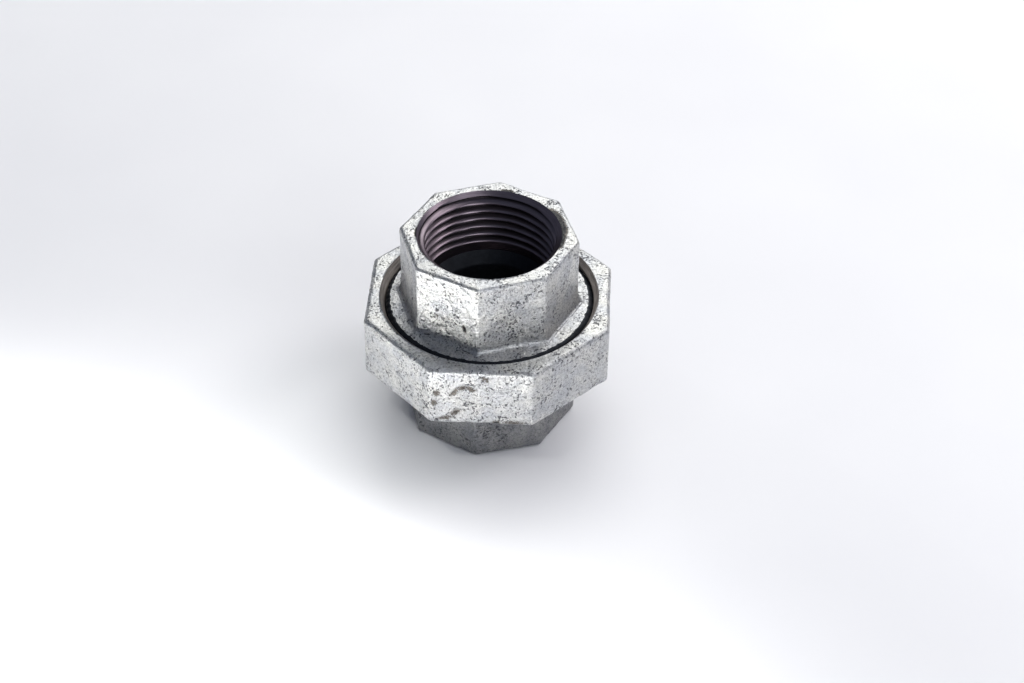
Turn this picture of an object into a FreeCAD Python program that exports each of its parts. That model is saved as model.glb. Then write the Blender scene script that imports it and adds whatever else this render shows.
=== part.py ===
import FreeCAD, Part

import math
import os

from FreeCAD import Vector

# Pipe union, 1 inch, malleable iron: two octagonal ends drawn together by an octagonal nut.
# Millimetres. Z runs along the pipe, and z = 0 is the face of the lower end, which it stands on.

# Whole object
OVERALL_LENGTH = 52.1

# Octagonal pipe ends
END_ACROSS_FLATS = 39.8
END_EDGE_RADIUS = 1.0
TAIL_CORNER_ANGLE = 22.5
BODY_CORNER_ANGLE = 25.1

# Sockets of both ends. Each takes a female pipe thread, Rp 1: major diameter 33.249 mm, 11 turns
# to the inch. Here its wall is plain, at the thread's minor diameter, without the grooves.
PIPE_MINOR_RADIUS = 30.291 / 2
SOCKET_MOUTH_RADIUS = 17.1
SOCKET_DEPTH = 16.5
SOCKET_LEDGE_DEPTH = 19.0
FLOW_BORE_RADIUS = 12.5

# Union thread, M52 x 2, between the nut and the threaded body
UNION_PITCH = 2.0
UNION_PITCH_RADIUS = 50.701 / 2
UNION_HALF_FLANK = 30.0
UNION_NUT_ROOT_RADIUS = 26.0
UNION_NUT_CREST_RADIUS = 25.1
UNION_BODY_CREST_RADIUS = 25.85
UNION_BODY_ROOT_RADIUS = 24.6
UNION_THREAD_CLEARANCE = 0.15

# Union nut
NUT_ACROSS_FLATS = 58.5
NUT_BOTTOM = 17.7
NUT_TOP = 34.3
NUT_CORNER_ANGLE = 6.2
NUT_EDGE_RADIUS = 1.3
NUT_LIP_THICKNESS = 3.0
NUT_LIP_HOLE_RADIUS = 22.3
NUT_RELIEF_RADIUS = 26.3
NUT_RELIEF_TOP = 22.4
NUT_MOUTH_RADIUS = 26.3

# Tail piece: its collar is caught under the nut's lip
TAIL_OCTAGON_TOP = 16.0
TAIL_NECK_RADIUS = 21.9
COLLAR_RADIUS = 24.8
COLLAR_THICKNESS = 2.75

# Flat seat ring between the collar and the threaded body
GASKET_INNER_RADIUS = 13.5
GASKET_OUTER_RADIUS = 23.4
GASKET_THICKNESS = 2.0
FACE_GAP = 0.05

# Threaded body: shoulder and flare under its octagon
SHOULDER_RADIUS = 24.0
SHOULDER_Z = 33.2
SHOULDER_CROWN_RADIUS = 20.85
SHOULDER_CROWN_Z = 33.6
FLARE_HEIGHT = 3.6
FLARE_WIDTH = 0.95
FLARE_STEPS = 5

# Levels that follow from the stack of pieces
LIP_TOP = NUT_BOTTOM + NUT_LIP_THICKNESS
COLLAR_BOTTOM = LIP_TOP + FACE_GAP
COLLAR_TOP = COLLAR_BOTTOM + COLLAR_THICKNESS
GASKET_BOTTOM = COLLAR_TOP + FACE_GAP
GASKET_TOP = GASKET_BOTTOM + GASKET_THICKNESS
BODY_SEAT = GASKET_TOP + FACE_GAP

# Helix of the union thread: a turn of the nut's groove passes this level at angle THREAD_START
UNION_THREAD_DATUM = 20.0
THREAD_START = 37.0
BODY_THREAD_TURNS = 7

OVERCUT = 0.3
SAME_LEVEL = 1e-6
PIECES_PER_TURN = 2
CORNERS = 8
AXIS_BASE = Vector(0, 0, 0)
AXIS = Vector(0, 0, 1)


def octagon(across_flats, z, corner_angle):
    """A closed octagon at height z, with one corner at corner_angle from +X."""
    corner_radius = across_flats / 2 / math.cos(math.pi / CORNERS)
    corners = []
    for index in range(CORNERS + 1):
        angle = math.radians(corner_angle + 360 / CORNERS * index)
        corners.append(Vector(corner_radius * math.cos(angle), corner_radius * math.sin(angle), z))
    return Part.makePolygon(corners)


def octagonal_prism(across_flats, bottom, top, corner_angle):
    outline = octagon(across_flats, bottom, corner_angle)
    return Part.Face(outline).extrude(Vector(0, 0, top - bottom))


def edges_clear_of(solid, plane_z):
    """All straight edges of a prism, apart from those that lie in the plane z = plane_z."""
    chosen = []
    for edge in solid.Edges:
        if all(abs(vertex.Z - plane_z) < SAME_LEVEL for vertex in edge.Vertexes):
            continue
        chosen.append(edge)
    return chosen


def turned(profile):
    """A solid of revolution about Z from a closed outline of (radius, z) points."""
    points = [Vector(radius, 0, z) for radius, z in profile]
    outline = Part.makePolygon(points + points[:1])
    return Part.Face(outline).revolve(AXIS_BASE, AXIS, 360)


def thread_groove(section, first_z, last_z):
    """A right-handed helical bar that cuts a thread; section is a closed outline of (radius, z).

    A short length is swept along the helix, and its sides are repeated up the helix and sewn
    together with the two end faces.
    """
    middle_radius = sum(radius for radius, _ in section) / len(section)
    rise = UNION_PITCH / PIECES_PER_TURN
    helix = Part.makeHelix(UNION_PITCH, rise, middle_radius)
    points = [Vector(radius, 0, z) for radius, z in section]
    outline = Part.makePolygon(points + points[:1])
    piece = Part.Wire(helix.Edges).makePipeShell([outline], True, True)
    ends = [face for face in piece.Faces if isinstance(face.Surface, Part.Plane)]
    sides = [face for face in piece.Faces if not isinstance(face.Surface, Part.Plane)]
    first_end, last_end = sorted(ends, key=lambda face: face.CenterOfMass.z)
    count = math.ceil((last_z - first_z) / rise)
    faces = []
    for index in range(count):
        copied = list(sides)
        if index == 0:
            copied.append(first_end)
        if index == count - 1:
            copied.append(last_end)
        for face in copied:
            face = face.copy()
            face.rotate(AXIS_BASE, AXIS, THREAD_START + 360 / PIECES_PER_TURN * index)
            face.translate(Vector(0, 0, first_z + rise * index))
            faces.append(face)
    skin = Part.Shell(faces)
    skin.sewShape()
    bar = Part.Solid(skin)
    if bar.Volume < 0:
        bar.reverse()
    return bar


def socket_bore():
    """Mouth, thread wall, ledge and flow bore of an end whose face is at z = 0."""
    mouth_depth = SOCKET_MOUTH_RADIUS - PIPE_MINOR_RADIUS
    return turned([
        (0, -OVERCUT),
        (SOCKET_MOUTH_RADIUS + OVERCUT, -OVERCUT),
        (PIPE_MINOR_RADIUS, mouth_depth),
        (PIPE_MINOR_RADIUS, SOCKET_DEPTH),
        (FLOW_BORE_RADIUS, SOCKET_LEDGE_DEPTH),
        (FLOW_BORE_RADIUS, OVERALL_LENGTH - BODY_SEAT + OVERCUT),
        (0, OVERALL_LENGTH - BODY_SEAT + OVERCUT),
    ])


def placed_at_top(shape):
    """Turn a cutter made for the lower end over, so that it cuts the upper end."""
    shape.rotate(AXIS_BASE, Vector(1, 0, 0), 180)
    shape.translate(Vector(0, 0, OVERALL_LENGTH))
    return shape


def groove_section(near, far, pitch_radius, side):
    """Outline of a union thread's groove between two radii.

    It is half the pitch wide at the pitch radius. side is 1 where it widens outward, as in a
    male thread, and -1 where it narrows outward, as in a female one.
    """
    slope = side * math.tan(math.radians(UNION_HALF_FLANK))
    near_half_width = UNION_PITCH / 4 + slope * (near - pitch_radius)
    far_half_width = UNION_PITCH / 4 + slope * (far - pitch_radius)
    return [
        (near, -near_half_width),
        (far, -far_half_width),
        (far, far_half_width),
        (near, near_half_width),
    ]


def nut_thread_groove():
    near = UNION_NUT_CREST_RADIUS - OVERCUT
    section = groove_section(near, UNION_NUT_ROOT_RADIUS, UNION_PITCH_RADIUS, -1)
    return thread_groove(section, UNION_THREAD_DATUM, NUT_TOP + UNION_PITCH)


def body_thread_groove():
    """Cut half a pitch away from the nut's groove, so that the ridges stand in that groove."""
    pitch_radius = UNION_PITCH_RADIUS - UNION_THREAD_CLEARANCE
    far = UNION_BODY_CREST_RADIUS + OVERCUT
    section = groove_section(UNION_BODY_ROOT_RADIUS, far, pitch_radius, 1)
    start = UNION_THREAD_DATUM + UNION_PITCH / 2
    return thread_groove(section, start, start + BODY_THREAD_TURNS * UNION_PITCH)


def tail_piece():
    end = octagonal_prism(END_ACROSS_FLATS, 0, TAIL_OCTAGON_TOP, TAIL_CORNER_ANGLE)
    end = end.makeFillet(END_EDGE_RADIUS, edges_clear_of(end, TAIL_OCTAGON_TOP))
    neck = turned([
        (0, TAIL_OCTAGON_TOP / 2),
        (END_ACROSS_FLATS / 2 - END_EDGE_RADIUS, TAIL_OCTAGON_TOP / 2),
        (TAIL_NECK_RADIUS, TAIL_OCTAGON_TOP),
        (TAIL_NECK_RADIUS, COLLAR_BOTTOM),
        (COLLAR_RADIUS, COLLAR_BOTTOM),
        (COLLAR_RADIUS, COLLAR_TOP),
        (0, COLLAR_TOP),
    ])
    return end.fuse(neck).cut(socket_bore())


def flare():
    """The concave spread of the octagon where it meets the shoulder, in a few straight steps."""
    sections = []
    for step in range(FLARE_STEPS + 1):
        angle = math.radians(90 * step / FLARE_STEPS)
        width = FLARE_WIDTH * (1 - math.sin(angle))
        z = SHOULDER_CROWN_Z + FLARE_HEIGHT * (1 - math.cos(angle))
        sections.append(octagon(END_ACROSS_FLATS + 2 * width, z, BODY_CORNER_ANGLE))
    return Part.makeLoft(sections, True, True)


def threaded_body():
    top = octagonal_prism(END_ACROSS_FLATS, SHOULDER_Z, OVERALL_LENGTH, BODY_CORNER_ANGLE)
    top = top.makeFillet(END_EDGE_RADIUS, edges_clear_of(top, SHOULDER_Z))
    slope = UNION_BODY_CREST_RADIUS - SHOULDER_RADIUS
    end_chamfer = UNION_BODY_CREST_RADIUS - UNION_BODY_ROOT_RADIUS + OVERCUT
    spigot = turned([
        (0, BODY_SEAT),
        (UNION_BODY_CREST_RADIUS - end_chamfer, BODY_SEAT),
        (UNION_BODY_CREST_RADIUS, BODY_SEAT + end_chamfer),
        (UNION_BODY_CREST_RADIUS, SHOULDER_Z - slope),
        (SHOULDER_RADIUS, SHOULDER_Z),
        (SHOULDER_CROWN_RADIUS, SHOULDER_CROWN_Z),
        (0, SHOULDER_CROWN_Z),
    ])
    blank = top.fuse(flare()).fuse(spigot)
    return blank.cut(placed_at_top(socket_bore())).cut(body_thread_groove())


def union_nut():
    blank = octagonal_prism(NUT_ACROSS_FLATS, NUT_BOTTOM, NUT_TOP, NUT_CORNER_ANGLE)
    blank = blank.makeFillet(NUT_EDGE_RADIUS, blank.Edges)
    mouth_depth = NUT_MOUTH_RADIUS - UNION_NUT_CREST_RADIUS
    relief_slope = NUT_RELIEF_RADIUS - UNION_NUT_CREST_RADIUS
    bore = turned([
        (0, NUT_BOTTOM - OVERCUT),
        (NUT_LIP_HOLE_RADIUS, NUT_BOTTOM - OVERCUT),
        (NUT_LIP_HOLE_RADIUS, LIP_TOP),
        (NUT_RELIEF_RADIUS, LIP_TOP),
        (NUT_RELIEF_RADIUS, NUT_RELIEF_TOP),
        (UNION_NUT_CREST_RADIUS, NUT_RELIEF_TOP + relief_slope),
        (UNION_NUT_CREST_RADIUS, NUT_TOP - mouth_depth),
        (NUT_MOUTH_RADIUS + OVERCUT, NUT_TOP + OVERCUT),
        (0, NUT_TOP + OVERCUT),
    ])
    return blank.cut(bore).cut(nut_thread_groove())


def gasket():
    return turned([
        (GASKET_INNER_RADIUS, GASKET_BOTTOM),
        (GASKET_OUTER_RADIUS, GASKET_BOTTOM),
        (GASKET_OUTER_RADIUS, GASKET_TOP),
        (GASKET_INNER_RADIUS, GASKET_TOP),
    ])


PARTS = {
    "tail_piece": tail_piece,
    "gasket": gasket,
    "union_nut": union_nut,
    "threaded_body": threaded_body,
}

os.makedirs("parts", exist_ok=True)
for name, make in PARTS.items():
    solid = make().Solids[0]
    solid.exportStep(f"parts/{name}.step")
    print(name, "valid", solid.isValid(), "volume", round(solid.Volume, 1))
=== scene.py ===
import math

import bpy
import numpy as np
from mathutils import Matrix, Vector, noise


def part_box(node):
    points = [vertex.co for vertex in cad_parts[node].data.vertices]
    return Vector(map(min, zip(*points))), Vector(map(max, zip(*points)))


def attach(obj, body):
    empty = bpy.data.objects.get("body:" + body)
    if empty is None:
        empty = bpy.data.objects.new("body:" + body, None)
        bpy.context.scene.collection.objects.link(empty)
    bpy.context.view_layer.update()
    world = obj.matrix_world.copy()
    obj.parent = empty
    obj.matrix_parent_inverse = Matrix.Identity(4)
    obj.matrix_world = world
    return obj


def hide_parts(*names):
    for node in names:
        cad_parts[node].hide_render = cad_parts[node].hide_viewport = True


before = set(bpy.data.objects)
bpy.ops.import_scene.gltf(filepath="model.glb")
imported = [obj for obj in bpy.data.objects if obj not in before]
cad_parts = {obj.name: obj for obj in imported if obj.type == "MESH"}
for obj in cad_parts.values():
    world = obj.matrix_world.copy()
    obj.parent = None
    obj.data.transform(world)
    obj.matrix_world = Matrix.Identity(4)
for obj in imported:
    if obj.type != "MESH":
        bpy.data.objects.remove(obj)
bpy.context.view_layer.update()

# ---------------------------------------------------------------- sizes, in millimetres

MM = 0.001


def levels(node):
    """(lowest z, highest z) of a CAD node."""
    low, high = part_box(node)
    return low[2] / MM, high[2] / MM


TAIL_BOTTOM, COLLAR_TOP = levels("tail_piece")
NUT_BOTTOM, NUT_TOP = levels("union_nut")
BODY_SEAT, BODY_TOP = levels("threaded_body")
GASKET_BOTTOM, GASKET_TOP = levels("gasket")

# Octagonal ends
END_HALF_FLATS = 19.9
END_CORNER_ROUND = 1.1
END_BEVEL = 1.0
TAIL_CORNER_ANGLE = 22.5
BODY_CORNER_ANGLE = 25.1

# Female pipe thread in both ends, Rp 1
PIPE_PITCH = 2.309
PIPE_MINOR_RADIUS = 15.1455
PIPE_MAJOR_RADIUS = 16.6245
PIPE_THREAD_END = 14.7
SOCKET_MOUTH_RADIUS = 17.1
SOCKET_DEPTH = 16.5
SOCKET_LEDGE_DEPTH = 19.0
FLOW_BORE_RADIUS = 12.5

# Union thread between the nut and the threaded body
UNION_PITCH = 2.0
UNION_DATUM = 20.0
UNION_NUT_ROOT = 26.0
UNION_NUT_CREST = 25.1
UNION_BODY_CREST = 25.85
UNION_BODY_ROOT = 24.6
UNION_END_RADIUS = 24.3
# Where both threads' roots cross their datum, as an angle
THREAD_START = math.radians(37)

# Nut
NUT_HALF_FLATS = 29.25
NUT_CORNER_ROUND = 1.6
NUT_BEVEL = 1.3
NUT_CORNER_ANGLE = 6.2
NUT_LIP_TOP = NUT_BOTTOM + 3.0
NUT_LIP_HOLE_RADIUS = 22.3
NUT_RELIEF_RADIUS = 26.3
NUT_RELIEF_TOP = 22.4
NUT_MOUTH_RADIUS = 26.3

# Tail piece and gasket
TAIL_OCTAGON_TOP = 16.0
TAIL_NECK_RADIUS = 21.9
COLLAR_RADIUS = 24.8
COLLAR_BOTTOM = NUT_LIP_TOP + 0.05
GASKET_INNER_RADIUS = 13.5
GASKET_OUTER_RADIUS = 23.4

# Shoulder and flare of the threaded body. The shoulder's cast edge is ragged.
SHOULDER_RADIUS = 24.0
SHOULDER_Z = 33.2
# The union thread runs out between this level and the shoulder. There it is coloured near black as
# painted shade, since it lies deep in the gap inside the nut
RUN_OUT_Z = 31.3
CREASE_Z = 33.6
CREASE_ROUND = 0.12
FLARE_HEIGHT = 3.6
FLARE_WIDTH = 0.95
RAGGED_LUMP = 1.1
RAGGED_DEPTH = 0.45

# Relief of the raw casting: (size of the lumps, how far they stand in or out)
CAST_RELIEF = ((7.0, 0.15), (2.4, 0.1), (0.9, 0.06))
CAST_SETBACK = 0.15
STAIN_DEPTH = 0.1

# Stains and scars: (angle and height of the centre, half width, half height, tilt, strength)
NUT_STAINS = (
    (-118.5, 27.8, 1.5, 0.75, 50, 0.95),
    (-115.0, 29.2, 1.6, 0.7, 20, 0.95),
    (-111.0, 28.9, 1.5, 0.75, -30, 0.95),
    (-126.0, 27.2, 1.3, 0.8, 65, 0.9),
    (-127.0, 24.4, 1.2, 0.8, 80, 0.95),
    (-118.0, 21.6, 1.6, 0.9, 40, 0.95),
    (-122.5, 19.8, 2.2, 0.7, 10, 0.85),
    (-105.0, 32.2, 1.6, 0.8, -30, 0.8),
    (-99.5, 18.6, 1.0, 0.8, 0, 1.3),
    (-92.0, 18.8, 2.6, 0.8, 0, 0.9),
    (-110.0, 24.0, 11.0, 7.0, 0, 0.2),
    (-58.0, 31.5, 0.9, 0.4, 20, 0.8),
    (-150.0, 26.5, 0.8, 0.35, 70, 0.7),
    (35.0, 27.0, 1.6, 0.5, 30, 0.8),
    (118.0, 24.0, 1.2, 0.6, -40, 0.8),
    (170.0, 22.0, 1.5, 0.4, 15, 0.7),
)
BODY_STAINS = (
    (-119.3, 39.0, 0.4, 1.1, 12, 1.8),
    (-134.0, 40.0, 7.0, 1.6, -6, 0.36),
    (-90.0, 41.0, 6.0, 2.2, 8, 0.3),
    (60.0, 44.0, 1.4, 0.4, 30, 0.7),
    (140.0, 42.0, 1.0, 0.5, -20, 0.8),
)
TAIL_STAINS = (
    (-60.0, 9.0, 1.4, 0.4, 20, 0.6),
    (75.0, 8.0, 1.5, 0.5, -30, 0.7),
    (200.0, 10.0, 1.2, 0.5, 25, 0.7),
)
# Where the dark skin of the upper bore has broken out over the rim: (angle, half width, reach)
RIM_BURRS = ((2.0, 15.0, 1.9), (63.0, 4.0, 1.3), (-22.0, 8.0, 1.0), (165.0, 5.0, 0.6))
BURR_STRENGTH = 2.4
# A burr thins out from BURR_END - 1 of its half width, and ends at BURR_END of it
BURR_END = 1.6

# How much of the casting's relief a surface has
RAW = 1.0
NUT_BOTTOM_GRAIN = 0.9
FACE_GRAIN = 0.8
BORE_GRAIN = 0.6
CREASE_GRAIN = 0.5
SMOOTH = 0.0

# Spacing of the mesh's rings on cast, machined, threaded and hidden flat surfaces
CAST_STEP = 0.3
MACHINED_STEP = 0.5
THREAD_STEP = 0.19
SEAT_STEP = 3.0

# How many points each ring has
BODY_COLUMNS = 400
NUT_COLUMNS = 560
TAIL_COLUMNS = 440
GASKET_COLUMNS = 240

# Edges sharper than this aren't smoothed over
SHARP_EDGE = math.radians(50)
SHORTEST_NORMAL = 1e-9

# Finishes, as indices into each piece's material slots. The last is painted shade, for the bores
# below the threads and the thread's run-out under the shoulder
CAST, THREAD, MACHINED, PAINTED_SHADE = range(4)

# Camera, the point that the lights look at, and the two lights that are over the floor
CAMERA_PLACE = Vector((-79.4, -353.2, 329.3)) * MM
CAMERA_AIM = Vector((4.6, -4.7, 21.8)) * MM
CAMERA_ROLL = math.radians(0.53)
CAMERA_LENS = 68.3
SENSOR_WIDTH = 36
LIGHT_AIM = Vector((0, 0, 26)) * MM
EVEN_LIGHT_PLACE = Vector((-180, 180, 1200)) * MM
SUN_PLACE = Vector((-235, -230, 500)) * MM
SUN_SPREAD = 59


# ---------------------------------------------------------------- closed skins, ring by ring

def lumps(points, size):
    """Smooth noise between -1 and 1 at each point, with lumps of about size millimetres."""
    flat = points.reshape(-1, 3)
    values = [noise.noise(Vector(point / size)) for point in flat]
    return np.array(values).reshape(points.shape[:-1])


def cast_relief(points):
    """How far the raw casting's surface stands out at each point, in millimetres."""
    total = np.full(points.shape[:-1], -CAST_SETBACK)
    for size, depth in CAST_RELIEF:
        total += depth * lumps(points, size)
    return total


def ridge(phase):
    """A rounded thread's groove: 1 at its root, where phase is whole, and 0 at the crest."""
    return 0.5 + 0.5 * np.cos(2 * math.pi * phase)


class Skin:
    """A closed surface round the axis, built from rings of points that go once round its section.

    The section goes up the outside, in over the top, down the bore and out along the bottom.
    Each ring has a radius and a height at each angle, the finish of the band up to the next ring,
    how coarse the surface is there, from 1 on a raw casting to 0 where it is machined, and how
    deep it lies in a thread's groove, which the thread's material uses to paint shade into the roots.
    """

    def __init__(self, columns):
        self.theta = np.linspace(0, 2 * math.pi, columns, endpoint=False)
        self.radii = []
        self.heights = []
        self.finish = []
        self.grain = []
        self.groove = []

    def run(self, length, radius, height, finish, grain=SMOOTH, step=CAST_STEP, groove=None):
        """Add rings over a stretch; radius, height and groove are functions of t, from 0 to 1."""
        count = max(2, round(length / step))
        for index in range(count):
            t = index / count
            self.radii.append(np.broadcast_to(radius(t), self.theta.shape))
            self.heights.append(np.broadcast_to(height(t), self.theta.shape))
            self.finish.append(finish)
            self.grain.append(grain)
            depth = groove(t) if groove else 0.0
            self.groove.append(np.broadcast_to(depth, self.theta.shape))

    def line(self, start, end, finish, grain=SMOOTH, step=MACHINED_STEP):
        """Add rings on a straight run between two (radius, height) pairs."""
        self.run(
            math.dist(start, end),
            lambda t: start[0] + (end[0] - start[0]) * t,
            lambda t: start[1] + (end[1] - start[1]) * t,
            finish,
            grain,
            step,
        )

    def face(self, inner, outer, z, outward, grain):
        """A flat cast face between a round edge and an octagonal one."""
        first, last = (inner, outer) if outward else (outer, inner)
        self.run(
            float(np.max(outer) - np.min(inner)),
            lambda t: first + (last - first) * t,
            lambda t: z,
            CAST,
            grain,
        )

    def wall(self, radius, bottom, top):
        """An upright cast wall."""
        self.run(top - bottom, lambda t: radius, lambda t: bottom + (top - bottom) * t, CAST, RAW)

    def octagon(self, half_flats, corner_round, corner_angle):
        """Distance from the axis to a round-cornered octagon, at each angle."""
        half_side = math.pi / 8
        turned = self.theta - math.radians(corner_angle)
        away = (turned + half_side) % (2 * half_side) - half_side
        from_flat = half_side - np.abs(away)
        centre = (half_flats - corner_round) / math.cos(half_side)
        inside = np.maximum(corner_round ** 2 - (centre * np.sin(away)) ** 2, 0)
        arc = centre * np.cos(away) + np.sqrt(inside)
        straight = (half_flats - corner_round) * math.tan(half_side)
        on_corner = half_flats * np.tan(from_flat) > straight
        return np.where(on_corner, arc, half_flats / np.cos(from_flat))

    def bevel(self, outline, bevel, level, rising):
        """Round an edge of an octagonal block: outwards and up to a wall, or in over its top."""
        half_flats, corner_round, corner_angle = outline

        def radius(t):
            angle = math.pi / 2 * (1 - t if rising else t)
            inset = bevel * (1 - math.cos(angle))
            return self.octagon(half_flats - inset, corner_round, corner_angle)

        def height(t):
            angle = math.pi / 2 * (1 - t if rising else t)
            reach = bevel * (1 - math.sin(angle))
            return level + reach if rising else level - reach

        self.run(math.pi / 2 * bevel, radius, height, CAST, RAW)

    def stain_at(self, stains):
        """Strength of the stains on the raw walls at each point of each ring."""
        radii = np.array(self.radii)
        heights = np.array(self.heights)
        total = np.zeros(radii.shape)
        for angle, z, half_width, half_height, tilt, strength in stains:
            turn = (self.theta - math.radians(angle) + math.pi) % (2 * math.pi) - math.pi
            across = radii * turn
            up = heights - z
            lean = math.radians(tilt)
            along = across * math.cos(lean) + up * math.sin(lean)
            aside = up * math.cos(lean) - across * math.sin(lean)
            spot = np.exp(-(along / half_width) ** 2 - (aside / half_height) ** 2)
            total = np.maximum(total, strength * spot)
        return total * (np.array(self.grain)[:, None] == RAW)

    def burrs_at(self, level, burrs):
        """Strength of the broken edge round a bore's mouth in the face at this level."""
        radii = np.array(self.radii)
        on_face = np.array(self.heights) == level
        total = np.zeros(radii.shape)
        for angle, half_width, reach in burrs:
            turn = (self.theta - math.radians(angle) + math.pi) % (2 * math.pi) - math.pi
            near = np.clip(BURR_END - np.abs(np.degrees(turn)) / half_width, 0, 1)
            edge = np.clip(1 - (radii - SOCKET_MOUTH_RADIUS) / reach, 0, 1)
            total = np.maximum(total, BURR_STRENGTH * near * edge)
        return total * on_face

    def build(self, name, materials, stains=(), burrs=()):
        """The mesh object, in metres, with the relief of its casting."""
        radii = np.array(self.radii)
        x = radii * np.cos(self.theta)
        y = radii * np.sin(self.theta)
        points = np.stack([x, y, np.array(self.heights)], axis=-1)
        across = np.roll(points, -1, axis=1) - np.roll(points, 1, axis=1)
        along = np.roll(points, -1, axis=0) - np.roll(points, 1, axis=0)
        normals = np.cross(across, along)
        normals /= np.maximum(np.linalg.norm(normals, axis=-1, keepdims=True), SHORTEST_NORMAL)
        stain = np.maximum(self.stain_at(stains), self.burrs_at(BODY_TOP, burrs))
        relief = cast_relief(points) - STAIN_DEPTH * stain
        grain = np.array(self.grain)[:, None]
        points = points + normals * (relief * grain)[..., None]

        rings, columns = radii.shape
        ring = np.arange(rings)[:, None]
        column = np.arange(columns)[None, :]
        next_ring = (ring + 1) % rings
        next_column = (column + 1) % columns
        quads = np.stack([
            ring * columns + column,
            ring * columns + next_column,
            next_ring * columns + next_column,
            next_ring * columns + column,
        ], axis=-1).reshape(-1, 4)
        mesh = bpy.data.meshes.new(name)
        mesh.from_pydata((points.reshape(-1, 3) * MM).tolist(), [], quads.tolist())
        for material in materials:
            mesh.materials.append(material)
        mesh.polygons.foreach_set("material_index", np.repeat(self.finish, columns))
        mesh.polygons.foreach_set("use_smooth", np.ones(len(quads), dtype=bool))
        mesh.set_sharp_from_angle(angle=SHARP_EDGE)
        # stain marks the real scars and pits; groove is the mask for the painted shade in the thread
        # roots
        for label, values in (("stain", stain), ("groove", np.array(self.groove))):
            attribute = mesh.attributes.new(label, "FLOAT", "POINT")
            attribute.data.foreach_set("value", values.astype(np.float32).ravel())
        mesh.update()
        piece = bpy.data.objects.new(name, mesh)
        bpy.context.collection.objects.link(piece)
        return piece


# ---------------------------------------------------------------- female pipe thread

def socket_groove(theta, depth):
    """How deep the thread is cut at a depth below its face; theta runs clockwise into it."""
    phase = depth / PIPE_PITCH - (theta - THREAD_START) / (2 * math.pi)
    fading = np.clip((PIPE_THREAD_END - depth) / (PIPE_PITCH / 2), 0, 1)
    return ridge(phase) * fading


def add_socket(skin, theta, height_at, depth_at):
    """The threaded wall of an end; its height and its depth below the face are functions of t."""

    def radius(t):
        cut = (PIPE_MAJOR_RADIUS - PIPE_MINOR_RADIUS) * socket_groove(theta, depth_at(t))
        return np.maximum(SOCKET_MOUTH_RADIUS - depth_at(t), PIPE_MINOR_RADIUS + cut)

    def groove(t):
        in_mouth = SOCKET_MOUTH_RADIUS - depth_at(t) >= radius(t)
        return np.where(in_mouth, 0, socket_groove(theta, depth_at(t)))

    skin.run(SOCKET_DEPTH, radius, height_at, THREAD, SMOOTH, THREAD_STEP, groove)


def upper_socket(skin):
    """The bore of the upper end, from its mouth down to the seat."""
    ledge = (PIPE_MINOR_RADIUS, BODY_TOP - SOCKET_DEPTH)
    bore = (FLOW_BORE_RADIUS, BODY_TOP - SOCKET_LEDGE_DEPTH)
    add_socket(
        skin,
        -skin.theta,
        lambda t: BODY_TOP - SOCKET_DEPTH * t,
        lambda t: SOCKET_DEPTH * t,
    )
    # The ledge and the flow bore are coloured with painted shade.
    skin.line(ledge, bore, PAINTED_SHADE, BORE_GRAIN)
    skin.line(bore, (FLOW_BORE_RADIUS, BODY_SEAT), PAINTED_SHADE, BORE_GRAIN)


def lower_socket(skin):
    """The bore of the lower end, from the seat down to its mouth, which lies at height 0."""
    bore = (FLOW_BORE_RADIUS, SOCKET_LEDGE_DEPTH)
    # The flow bore and the ledge are coloured with painted shade.
    skin.line((FLOW_BORE_RADIUS, COLLAR_TOP), bore, PAINTED_SHADE, BORE_GRAIN)
    skin.line(bore, (PIPE_MINOR_RADIUS, SOCKET_DEPTH), PAINTED_SHADE, BORE_GRAIN)
    add_socket(
        skin,
        skin.theta,
        lambda t: SOCKET_DEPTH * (1 - t),
        lambda t: SOCKET_DEPTH * (1 - t),
    )


# ---------------------------------------------------------------- union thread

def nut_thread_radius(theta, z):
    phase = (z - UNION_DATUM) / UNION_PITCH - (theta - THREAD_START) / (2 * math.pi)
    return UNION_NUT_CREST + (UNION_NUT_ROOT - UNION_NUT_CREST) * ridge(phase)


def body_thread_radius(theta, z):
    """The ridges stand in the nut's grooves, half a pitch away from its own."""
    half_pitch = UNION_PITCH / 2
    phase = (z - UNION_DATUM - half_pitch) / UNION_PITCH - (theta - THREAD_START) / (2 * math.pi)
    return UNION_BODY_CREST - (UNION_BODY_CREST - UNION_BODY_ROOT) * ridge(phase)


# ---------------------------------------------------------------- the four pieces

def ragged_edge(theta):
    """How far the shoulder's cast edge falls short of its full radius, at each angle."""
    x = SHOULDER_RADIUS * np.cos(theta)
    y = SHOULDER_RADIUS * np.sin(theta)
    rough = lumps(np.stack([x, y, np.zeros(len(theta))], axis=-1), RAGGED_LUMP)
    return RAGGED_DEPTH * np.clip(rough + 0.1, 0, 1)


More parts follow.
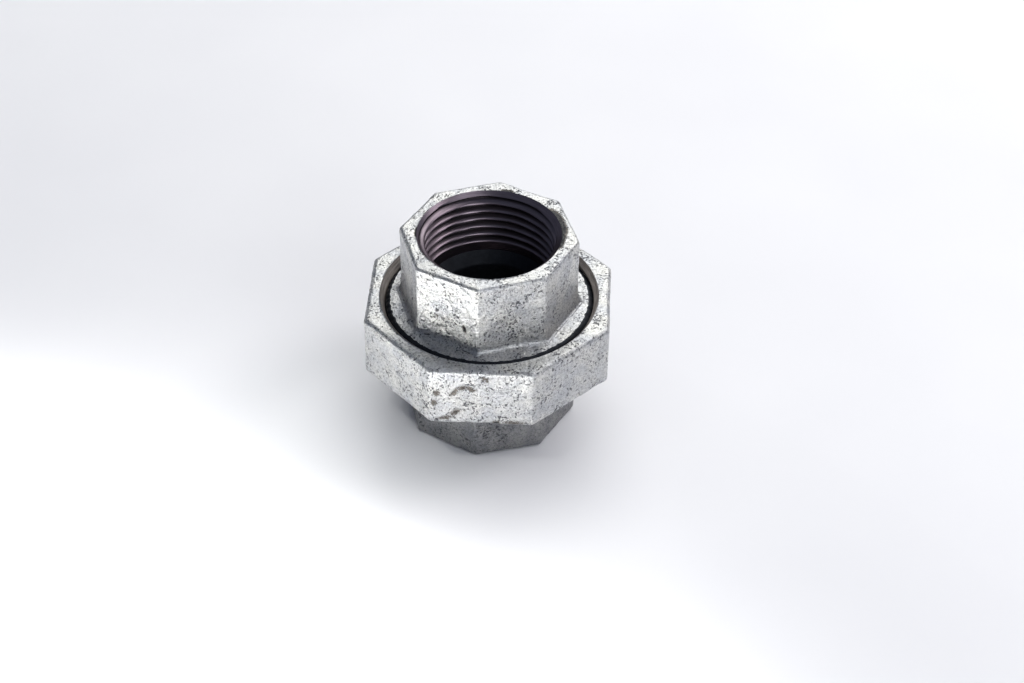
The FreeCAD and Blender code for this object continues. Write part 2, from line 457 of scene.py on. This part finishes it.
def threaded_body(materials):
    skin = Skin(BODY_COLUMNS)
    outline = (END_HALF_FLATS, END_CORNER_ROUND, BODY_CORNER_ANGLE)
    edge = SHOULDER_RADIUS - ragged_edge(skin.theta)
    seat_inner = (FLOW_BORE_RADIUS, BODY_SEAT)
    seat_outer = (UNION_END_RADIUS, BODY_SEAT)
    skin.line(seat_inner, seat_outer, MACHINED, SMOOTH, SEAT_STEP)

    def spigot_radius(z):
        lead_in = UNION_END_RADIUS + z - BODY_SEAT
        run_out = edge + SHOULDER_Z - z
        return np.minimum(body_thread_radius(skin.theta, z), np.minimum(lead_in, run_out))

    # Above RUN_OUT_Z the spigot is coloured with painted shade, as it lies deep in the gap inside the
    # nut.
    for bottom, top, finish in ((BODY_SEAT, RUN_OUT_Z, MACHINED), (RUN_OUT_Z, SHOULDER_Z, PAINTED_SHADE)):
        skin.run(
            top - bottom,
            lambda t: spigot_radius(bottom + (top - bottom) * t),
            lambda t: bottom + (top - bottom) * t,
            finish,
            step=THREAD_STEP,
        )
    crease = skin.octagon(END_HALF_FLATS + FLARE_WIDTH, END_CORNER_ROUND, BODY_CORNER_ANGLE)
    skin.run(
        SHOULDER_RADIUS - END_HALF_FLATS,
        lambda t: edge + (crease - edge) * t,
        lambda t: SHOULDER_Z + (CREASE_Z - SHOULDER_Z) * t,
        CAST,
        RAW,
    )
    skin.run(
        2 * CREASE_ROUND,
        lambda t: crease,
        lambda t: CREASE_Z + CREASE_ROUND * t,
        CAST,
        CREASE_GRAIN,
    )
    flare_bottom = CREASE_Z + CREASE_ROUND
    skin.run(
        FLARE_HEIGHT,
        lambda t: skin.octagon(
            END_HALF_FLATS + FLARE_WIDTH * (1 - math.sin(math.pi / 2 * t)),
            END_CORNER_ROUND,
            BODY_CORNER_ANGLE,
        ),
        lambda t: flare_bottom + FLARE_HEIGHT * (1 - math.cos(math.pi / 2 * t)),
        CAST,
        RAW,
    )
    skin.wall(skin.octagon(*outline), flare_bottom + FLARE_HEIGHT, BODY_TOP - END_BEVEL)
    skin.bevel(outline, END_BEVEL, BODY_TOP, False)
    rim = skin.octagon(END_HALF_FLATS - END_BEVEL, END_CORNER_ROUND, BODY_CORNER_ANGLE)
    skin.face(SOCKET_MOUTH_RADIUS, rim, BODY_TOP, False, FACE_GRAIN)
    upper_socket(skin)
    return skin.build("threaded_body_casting", materials, BODY_STAINS, RIM_BURRS)


def union_nut(materials):
    skin = Skin(NUT_COLUMNS)
    outline = (NUT_HALF_FLATS, NUT_CORNER_ROUND, NUT_CORNER_ANGLE)
    rim = skin.octagon(NUT_HALF_FLATS - NUT_BEVEL, NUT_CORNER_ROUND, NUT_CORNER_ANGLE)
    skin.face(NUT_LIP_HOLE_RADIUS, rim, NUT_BOTTOM, True, NUT_BOTTOM_GRAIN)
    skin.bevel(outline, NUT_BEVEL, NUT_BOTTOM, True)
    skin.wall(skin.octagon(*outline), NUT_BOTTOM + NUT_BEVEL, NUT_TOP - NUT_BEVEL)
    skin.bevel(outline, NUT_BEVEL, NUT_TOP, False)
    skin.face(NUT_MOUTH_RADIUS, rim, NUT_TOP, False, FACE_GRAIN)
    relief_slope_top = NUT_RELIEF_TOP + NUT_RELIEF_RADIUS - UNION_NUT_CREST
    thread_height = NUT_TOP - relief_slope_top

    def thread_radius(z):
        mouth = NUT_MOUTH_RADIUS - (NUT_TOP - z)
        return np.maximum(nut_thread_radius(skin.theta, z), mouth)

    skin.run(
        thread_height,
        lambda t: thread_radius(NUT_TOP - thread_height * t),
        lambda t: NUT_TOP - thread_height * t,
        MACHINED,
        step=THREAD_STEP,
    )
    corners = [
        (UNION_NUT_CREST, relief_slope_top),
        (NUT_RELIEF_RADIUS, NUT_RELIEF_TOP),
        (NUT_RELIEF_RADIUS, NUT_LIP_TOP),
        (NUT_LIP_HOLE_RADIUS, NUT_LIP_TOP),
        (NUT_LIP_HOLE_RADIUS, NUT_BOTTOM),
    ]
    for start, end in zip(corners, corners[1:]):
        skin.line(start, end, MACHINED)
    return skin.build("union_nut_casting", materials, NUT_STAINS)


def tail_piece(materials):
    skin = Skin(TAIL_COLUMNS)
    outline = (END_HALF_FLATS, END_CORNER_ROUND, TAIL_CORNER_ANGLE)
    rim = skin.octagon(END_HALF_FLATS - END_BEVEL, END_CORNER_ROUND, TAIL_CORNER_ANGLE)
    skin.face(SOCKET_MOUTH_RADIUS, rim, TAIL_BOTTOM, True, SMOOTH)
    skin.bevel(outline, END_BEVEL, TAIL_BOTTOM, True)
    wall = skin.octagon(*outline)
    wall_top = TAIL_OCTAGON_TOP - END_BEVEL
    skin.wall(wall, TAIL_BOTTOM + END_BEVEL, wall_top)
    skin.run(
        TAIL_NECK_RADIUS - END_HALF_FLATS,
        lambda t: wall + (TAIL_NECK_RADIUS - wall) * t,
        lambda t: wall_top + END_BEVEL * t,
        CAST,
        RAW,
    )
    corners = [
        (TAIL_NECK_RADIUS, TAIL_OCTAGON_TOP),
        (TAIL_NECK_RADIUS, COLLAR_BOTTOM),
        (COLLAR_RADIUS, COLLAR_BOTTOM),
        (COLLAR_RADIUS, COLLAR_TOP),
        (FLOW_BORE_RADIUS, COLLAR_TOP),
    ]
    for start, end in zip(corners, corners[1:]):
        skin.line(start, end, MACHINED)
    lower_socket(skin)
    return skin.build("tail_piece_casting", materials, TAIL_STAINS)


def gasket(materials):
    """The flat ring between the seats. Its only material is in the first slot, CAST."""
    skin = Skin(GASKET_COLUMNS)
    corners = [
        (GASKET_INNER_RADIUS, GASKET_BOTTOM),
        (GASKET_OUTER_RADIUS, GASKET_BOTTOM),
        (GASKET_OUTER_RADIUS, GASKET_TOP),
        (GASKET_INNER_RADIUS, GASKET_TOP),
    ]
    for start, end in zip(corners, corners[1:] + corners[:1]):
        skin.line(start, end, CAST)
    return skin.build("gasket_ring", materials)


# ---------------------------------------------------------------- materials

class Material:
    """A Principled material, with short calls for the nodes that feed it."""

    def __init__(self, name, metallic, roughness):
        self.made = bpy.data.materials.new(name)
        self.made.use_nodes = True
        self.tree = self.made.node_tree
        self.shader = self.tree.nodes["Principled BSDF"]
        self.shader.inputs["Metallic"].default_value = metallic
        self.shader.inputs["Roughness"].default_value = roughness
        self.place = self.tree.nodes.new("ShaderNodeTexCoord").outputs["Object"]

    def link(self, output, socket):
        self.tree.links.new(output, socket)

    def feed(self, value, socket):
        """Give a socket an output, a number or a colour."""
        if isinstance(value, bpy.types.NodeSocket):
            self.link(value, socket)
        elif isinstance(value, tuple):
            socket.default_value = (*value, 1)
        else:
            socket.default_value = value

    def noise(self, size, detail=3.0, roughness=0.6, stretch=None):
        """Noise with lumps of about size millimetres; stretch scales its axes."""
        place = self.place
        if stretch:
            mapping = self.tree.nodes.new("ShaderNodeMapping")
            mapping.inputs["Scale"].default_value = stretch
            self.link(place, mapping.inputs["Vector"])
            place = mapping.outputs["Vector"]
        node = self.tree.nodes.new("ShaderNodeTexNoise")
        node.inputs["Scale"].default_value = 1 / (size * MM)
        node.inputs["Detail"].default_value = detail
        node.inputs["Roughness"].default_value = roughness
        self.link(place, node.inputs["Vector"])
        return node.outputs["Fac"]

    def shift(self, value, amount):
        """Noise centred on nought, from -amount / 2 to amount / 2."""
        return self.math("MULTIPLY", self.math("SUBTRACT", value, 0.5), amount)

    def attribute(self, name):
        """A value that Skin.build stores at each point of the mesh."""
        node = self.tree.nodes.new("ShaderNodeAttribute")
        node.attribute_name = name
        return node.outputs["Fac"]

    def ramp(self, value, *stops):
        """A colour ramp; each stop is (position, grey or colour)."""
        node = self.tree.nodes.new("ShaderNodeValToRGB")
        elements = node.color_ramp.elements
        while len(elements) < len(stops):
            elements.new(0.5)
        for element, (position, shade) in zip(elements, stops):
            element.position = position
            element.color = (*shade, 1) if isinstance(shade, tuple) else (shade, shade, shade, 1)
        self.link(value, node.inputs["Fac"])
        return node.outputs["Color"]

    def mix(self, amount, first, second, blend="MIX"):
        """Mix two colours; amount, first and second are outputs, numbers or colours."""
        node = self.tree.nodes.new("ShaderNodeMix")
        node.data_type = "RGBA"
        node.blend_type = blend
        colours = [socket for socket in node.inputs if socket.type == "RGBA"]
        self.feed(amount, node.inputs["Factor"])
        self.feed(first, colours[0])
        self.feed(second, colours[1])
        return next(socket for socket in node.outputs if socket.type == "RGBA")

    def math(self, operation, first, second):
        node = self.tree.nodes.new("ShaderNodeMath")
        node.operation = operation
        self.feed(first, node.inputs[0])
        self.feed(second, node.inputs[1])
        return node.outputs[0]

    def bump(self, height, distance, strength=1.0):
        """Relief from a height between 0 and 1, over distance millimetres."""
        node = self.tree.nodes.new("ShaderNodeBump")
        node.inputs["Distance"].default_value = distance * MM
        node.inputs["Strength"].default_value = strength
        self.link(height, node.inputs["Height"])
        self.link(node.outputs["Normal"], self.shader.inputs["Normal"])


def galvanised_cast(name, dark, pale):
    """Hot-dip zinc on a raw casting, from dark to pale: sandy, with dark pits and brown scars."""
    material = Material(name, 0.85, 0.36)
    patches = material.noise(5, 4)
    tone = material.ramp(patches, (0.36, dark), (0.62, pale))
    sand = material.noise(0.5, 3, 0.75)
    sanded = material.mix(1.0, tone, material.ramp(sand, (0.34, 0.55), (0.56, 1.0)), "MULTIPLY")
    crowding = material.shift(material.noise(3.5, 3), 0.5)
    specks = material.math("ADD", material.noise(0.6, 3, 0.6), crowding)
    pits = material.ramp(specks, (0.35, 1.0), (0.41, 0.0))
    specked = material.mix(material.math("MULTIPLY", pits, 0.85), sanded, (0.07, 0.07, 0.08))
    stain = material.attribute("stain")
    broken = material.math("ADD", stain, material.shift(sand, 2.6))
    scars = material.ramp(broken, (0.45, 0.0), (0.65, 1.0))
    scar_tone = material.ramp(stain, (0.8, (0.16, 0.14, 0.12)), (1.0, (0.012, 0.012, 0.014)))
    colour = material.mix(material.math("MULTIPLY", scars, 0.95), specked, scar_tone)
    material.link(colour, material.shader.inputs["Base Color"])
    gloss = material.ramp(material.noise(1.5, 3), (0.3, 0.3), (0.7, 0.42))
    material.link(gloss, material.shader.inputs["Roughness"])
    coarse = material.math("MULTIPLY", material.noise(1.2, 2), 1.4)
    height = material.math("ADD", sand, coarse)
    hollows = material.math("ADD", pits, scars)
    material.bump(material.math("SUBTRACT", height, hollows), 0.13)
    return material.made


def dark_thread():
    """The cut thread in the bores: dark brown-purple steel with fine turning lines, and painted shade
    that darkens the roots of the grooves.
    """
    material = Material("dark_thread", 0.95, 0.33)
    lines = material.noise(3, 3, 0.6, (0.6, 0.6, 14))
    cut = material.ramp(lines, (0.3, (0.19, 0.155, 0.18)), (0.7, (0.31, 0.255, 0.29)))
    # Painted shade: the colour falls to 0.08 of itself deep in each groove, where shade falls.
    roots = material.ramp(material.attribute("groove"), (0.55, 1.0), (0.9, 0.08))
    colour = material.mix(1.0, cut, roots, "MULTIPLY")
    material.link(colour, material.shader.inputs["Base Color"])
    material.bump(lines, 0.03, 0.6)
    return material.made


def machined_iron():
    """Turned faces with a thin brown bloom."""
    material = Material("machined_iron", 0.75, 0.42)
    lines = material.noise(2.5, 3, 0.6, (0.6, 0.6, 12))
    colour = material.ramp(lines, (0.3, (0.2, 0.175, 0.16)), (0.7, (0.38, 0.34, 0.315)))
    material.link(colour, material.shader.inputs["Base Color"])
    material.bump(lines, 0.03, 0.5)
    return material.made


def painted_bore_shade():
    """Painted shade: a near-black, slightly blue colour for the bores below the threads and the
    run-out under the shoulder, with the bump of the cast grain.
    """
    material = Material("painted_bore_shade", 0.5, 0.55)
    patches = material.noise(2.5, 4)
    colour = material.ramp(patches, (0.3, (0.008, 0.01, 0.015)), (0.7, (0.022, 0.026, 0.034)))
    material.link(colour, material.shader.inputs["Base Color"])
    material.bump(material.noise(0.8, 4), 0.1, 0.8)
    return material.made


def gasket_fibre():
    """Pressed fibre sheet: dark, matt and flecked."""
    material = Material("gasket_fibre", 0.0, 0.85)
    fibres = material.noise(0.8, 5, 0.7)
    colour = material.ramp(fibres, (0.35, (0.05, 0.048, 0.045)), (0.7, (0.14, 0.13, 0.12)))
    material.link(colour, material.shader.inputs["Base Color"])
    material.bump(fibres, 0.05, 0.6)
    return material.made


BRIGHT_ZINC = galvanised_cast("bright_zinc", (0.56, 0.57, 0.59), (0.72, 0.715, 0.69))
# Painted shade: a darker copy of the same zinc, for the tail piece that lies in shade under the nut.
SHADED_ZINC = galvanised_cast("shaded_zinc", (0.24, 0.245, 0.26), (0.36, 0.36, 0.355))
# The cut steel of the threads and faces, and the painted shade of the bores and the run-out.
CUT_IRON_AND_SHADE = [dark_thread(), machined_iron(), painted_bore_shade()]
PIECES = (
    (threaded_body([BRIGHT_ZINC, *CUT_IRON_AND_SHADE]), "threaded_body", "galvanised_iron"),
    (union_nut([BRIGHT_ZINC, *CUT_IRON_AND_SHADE]), "union_nut", "galvanised_iron"),
    # The tail piece gets the darker zinc, which paints the shade under the nut.
    (tail_piece([SHADED_ZINC, *CUT_IRON_AND_SHADE]), "tail_piece", "galvanised_iron"),
    (gasket([gasket_fibre()]), "gasket", "gasket_fibre"),
)
for piece, node, slot in PIECES:
    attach(piece, node)
    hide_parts(node)


# ---------------------------------------------------------------- studio

def floor():
    """The pale sheet that the object stands on."""
    size = 3.0
    mesh = bpy.data.meshes.new("floor")
    corners = [(-size, -size, 0), (size, -size, 0), (size, size, 0), (-size, size, 0)]
    mesh.from_pydata(corners, [], [(0, 1, 2, 3)])
    paint = Material("floor_paint", 0.0, 0.6)
    shade = paint.ramp(paint.noise(90, 2), (0.3, (0.80, 0.80, 0.82)), (0.7, (0.84, 0.84, 0.855)))
    paint.link(shade, paint.shader.inputs["Base Color"])
    mesh.materials.append(paint.made)
    plane = bpy.data.objects.new("floor", mesh)
    bpy.context.collection.objects.link(plane)
    return plane


def area_light(name, place, aim, size, power, colour, spread=180, receivers=None):
    """A soft square light with a beam of spread degrees; receivers is all that it lights."""
    data = bpy.data.lights.new(name, "AREA")
    data.size = size
    data.energy = power
    data.color = colour
    data.spread = math.radians(spread)
    lamp = bpy.data.objects.new(name, data)
    lamp.location = place
    lamp.rotation_euler = (place - aim).to_track_quat("Z", "Y").to_euler()
    bpy.context.collection.objects.link(lamp)
    if receivers:
        lamp.light_linking.receiver_collection = receivers


def toward(azimuth, elevation, distance):
    """A place at this distance from the object; azimuth 0 is in front of it and 90 at its right."""
    turn, tilt = math.radians(azimuth), math.radians(elevation)
    away = Vector((math.sin(turn) * math.cos(tilt), -math.cos(turn) * math.cos(tilt), math.sin(tilt)))
    return LIGHT_AIM + away * distance


def on_floor(place):
    """The point of the floor right below a place."""
    return Vector((place.x, place.y, 0))


def camera():
    data = bpy.data.cameras.new("camera")
    data.sensor_width = SENSOR_WIDTH
    data.lens = CAMERA_LENS
    data.clip_start = 0.01
    eye = bpy.data.objects.new("camera", data)
    look = (CAMERA_AIM - CAMERA_PLACE).to_track_quat("-Z", "Y").to_matrix().to_4x4()
    eye.matrix_world = Matrix.Translation(CAMERA_PLACE) @ look @ Matrix.Rotation(CAMERA_ROLL, 4, "Z")
    bpy.context.collection.objects.link(eye)
    bpy.context.scene.camera = eye


def daylight():
    world = bpy.data.worlds.new("daylight")
    world.use_nodes = True
    background = world.node_tree.nodes["Background"]
    background.inputs["Color"].default_value = (0.62, 0.74, 1.0, 1)
    background.inputs["Strength"].default_value = 0.14
    bpy.context.scene.world = world


def lights(floor_only):
    """Window light from behind, two weak fills, and sunlight on the floor at the front left."""
    area_light("back", toward(152, 44, 1.2), LIGHT_AIM, 1.1, 10.5, (1.0, 1.0, 0.97))
    area_light("side", toward(88, 42, 1.1), LIGHT_AIM, 0.5, 2.3, (1.0, 0.96, 0.98))
    area_light("front", toward(20, 34, 1.1), LIGHT_AIM, 0.6, 3.1, (0.95, 0.97, 1.0))
    area_light(
        "floor_even",
        EVEN_LIGHT_PLACE,
        on_floor(EVEN_LIGHT_PLACE),
        1.4,
        3.8,
        (1, 1, 1),
        receivers=floor_only,
    )
    area_light(
        "floor_left",
        SUN_PLACE,
        on_floor(SUN_PLACE),
        0.1,
        4.7,
        (1, 1, 0.96),
        SUN_SPREAD,
        floor_only,
    )


lit_floor = bpy.data.collections.new("floor_only")
lit_floor.objects.link(floor())
daylight()
lights(lit_floor)
camera()
bpy.context.scene.view_settings.view_transform = "Standard"
